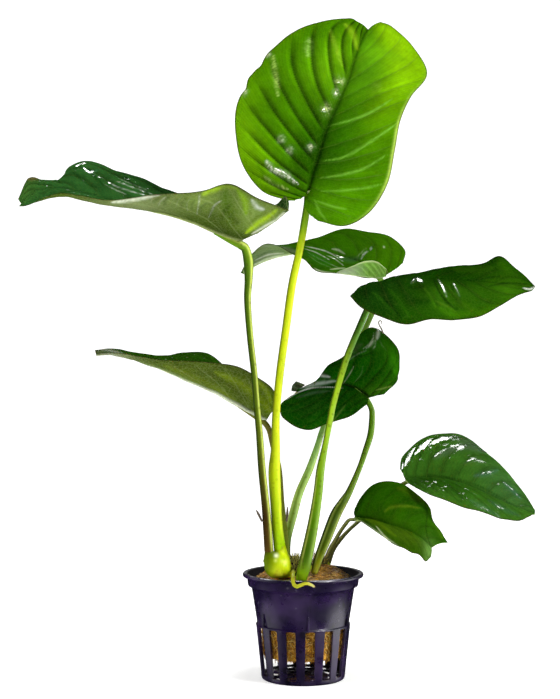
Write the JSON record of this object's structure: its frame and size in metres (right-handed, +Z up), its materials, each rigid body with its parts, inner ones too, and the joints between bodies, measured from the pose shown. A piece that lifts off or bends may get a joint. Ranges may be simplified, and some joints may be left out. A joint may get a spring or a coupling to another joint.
{
  "type": "potted anubias barteri aquarium plant",
  "caption": "Aquarium plant with broad dark green leaves on long stalks, rising from a creeping rhizome on a rock wool plug in a small slotted net pot.",
  "frame": {"origin": "middle of the pot's base, on the surface that the pot stands on", "axes": "+Z up along the pot's axis, -Y towards the front of the plant, +X to the right as seen from the front"},
  "size_m": [0.2323, 0.1202, 0.3029],
  "materials": {
    "pot_plastic": "dark purple-black moulded plastic, satin to glossy",
    "rock_wool": "golden-brown matted mineral fibre",
    "stalk_green": "smooth green plant stem, satin",
    "young_green": "bright yellow-green young plant tissue, satin",
    "blade_green": "thick waxy leaf, dark green and glossy above, paler and duller below",
    "dead_brown": "dry torn brown plant remains, matt"
  },
  "bodies": {
    "root": {"net_pot": "pot_plastic", "rock_wool_plug": "rock_wool", "rhizome": "young_green", "root": "young_green", "dead_leaf_stub": "dead_brown", "left_bract": "dead_brown", "right_bract": "dead_brown", "top_leaf_stalk": "young_green", "top_leaf_blade": "blade_green", "upper_left_leaf_stalk": "stalk_green", "upper_left_leaf_blade": "blade_green", "lower_left_leaf_stalk": "stalk_green", "lower_left_leaf_blade": "blade_green", "upper_middle_leaf_stalk": "stalk_green", "upper_middle_leaf_blade": "blade_green", "upper_right_leaf_stalk": "stalk_green", "upper_right_leaf_blade": "blade_green", "centre_leaf_stalk": "stalk_green", "centre_leaf_blade": "blade_green", "right_leaf_stalk": "stalk_green", "right_leaf_blade": "blade_green", "low_right_leaf_stalk": "stalk_green", "low_right_leaf_blade": "blade_green"}
  },
  "joints": []
}
